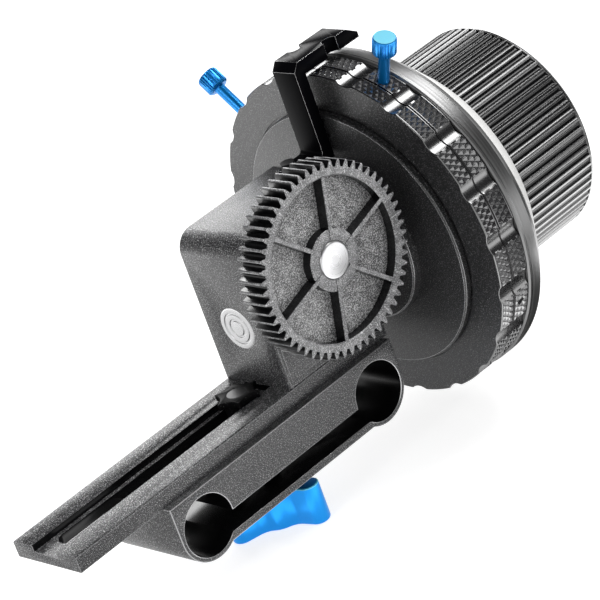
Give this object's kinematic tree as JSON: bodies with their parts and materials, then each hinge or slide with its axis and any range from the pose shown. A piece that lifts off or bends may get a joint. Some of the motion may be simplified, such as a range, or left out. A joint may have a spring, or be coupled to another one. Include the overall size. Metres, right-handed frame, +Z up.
{
  "type": "follow focus unit",
  "caption": "Rod-mounted follow focus: fluted hand wheel with a marking disc and stop rings turns a lens gear through a right-angle gearbox on a slide rail.",
  "frame": {"origin": "on the axis of the left rod bore, at the clamp's front face", "axes": "+X along the slide rail towards the hand wheel, +Y along the rods away from the drive gear, +Z up"},
  "size_m": [0.1735, 0.0899, 0.1032],
  "materials": {
    "black_anodised": "sandblasted and anodised black, satin",
    "knob_anodised": "anodised black, bright on the fluted edges",
    "gloss_black": "glossy black",
    "grey_anodised": "turned, satin grey",
    "bare_aluminium": "turned, bare",
    "blue_anodised": "anodised blue, satin",
    "white_plastic": "matt white",
    "gear_plastic": "moulded dark grey, slightly worn on the edges",
    "steel": "ground",
    "black_steel": "blackened",
    "brass": "machined"
  },
  "bodies": {
    "clamp": {"rod_clamp": "black_anodised", "clamp_stud": "steel", "clamp_washer": "steel", "slot_nut": "black_steel"},
    "clamp_lever": {"clamp_lever": "blue_anodised"},
    "carriage": {"slide_rail": "black_anodised", "rail_screws": "black_steel", "gearbox_housing": "black_anodised", "gearbox_cover": "black_anodised", "cover_screws": "black_steel", "shaft_plug": "bare_aluminium", "bearing_boss": "black_anodised", "boss_screws": "black_steel", "hand_bearing_left": "steel", "hand_bearing_right": "steel", "output_bearing_front": "steel", "output_bearing_rear": "steel", "index_arm": "gloss_black", "arm_screws": "black_steel"},
    "hand_wheel": {"hand_shaft": "steel", "screw_gear_hand": "brass", "hand_retaining_ring": "steel", "wheel_hub": "black_anodised", "hub_set_screw": "black_steel", "dial_plate": "grey_anodised", "marking_disc": "white_plastic", "hand_knob": "knob_anodised", "wheel_screws": "black_steel", "knob_cap": "knob_anodised", "cap_screw": "black_steel"},
    "output": {"output_shaft": "bare_aluminium", "screw_gear_output": "steel", "output_retaining_ring": "steel", "gear_spacer": "black_anodised", "drive_gear": "gear_plastic"},
    "stop_ring_a": {"stop_ring_a": "black_anodised"},
    "stop_ring_b": {"stop_ring_b": "black_anodised", "ring_set_screw": "black_steel"},
    "thumb_screw_a": {"thumb_screw_a": "blue_anodised"},
    "thumb_screw_b": {"thumb_screw_b": "blue_anodised"}
  },
  "joints": [
    {"name": "rail_slide", "type": "slide", "parent": "clamp", "child": "carriage", "axis": [1, 0, 0], "range_m": [0, 0.055]},
    {"name": "clamp_lever_turn", "type": "hinge", "parent": "clamp", "child": "clamp_lever", "pos_m": [0.03, 0.01375, -0.01475], "axis": [0, 0, 1], "range_deg": [-270, 0]},
    {"name": "hand_wheel_turn", "type": "hinge", "parent": "carriage", "child": "hand_wheel", "pos_m": [0.087, 0.01375, 0.02986], "axis": [1, 0, 0], "range_deg": [-20, 40]},
    {"name": "drive_gear_turn", "type": "hinge", "parent": "carriage", "child": "output", "pos_m": [0.05053, -0.00982, 0.044], "axis": [0, 1, 0], "range_deg": [-40, 20]},
    {"name": "stop_ring_a_turn", "type": "hinge", "parent": "hand_wheel", "child": "stop_ring_a", "pos_m": [0.08435, 0.01375, 0.02986], "axis": [1, 0, 0], "range_deg": [-135, 0]},
    {"name": "stop_ring_b_turn", "type": "hinge", "parent": "hand_wheel", "child": "stop_ring_b", "pos_m": [0.08935, 0.01375, 0.02986], "axis": [1, 0, 0], "range_deg": [0, 135]},
    {"name": "thumb_screw_a_turn", "type": "hinge", "parent": "stop_ring_a", "child": "thumb_screw_a", "pos_m": [0.08435, 0.04894, 0.06538], "axis": [0, 0.7039, 0.7103], "range_deg": [0, 270]},
    {"name": "thumb_screw_b_turn", "type": "hinge", "parent": "stop_ring_b", "child": "thumb_screw_b", "pos_m": [0.08935, -0.00714, 0.07529], "axis": [0, -0.4179, 0.9085], "range_deg": [0, 270]}
  ],
  "couplings": [
    {"joint": "drive_gear_turn", "follows": "hand_wheel_turn", "ratio": -1}
  ]
}
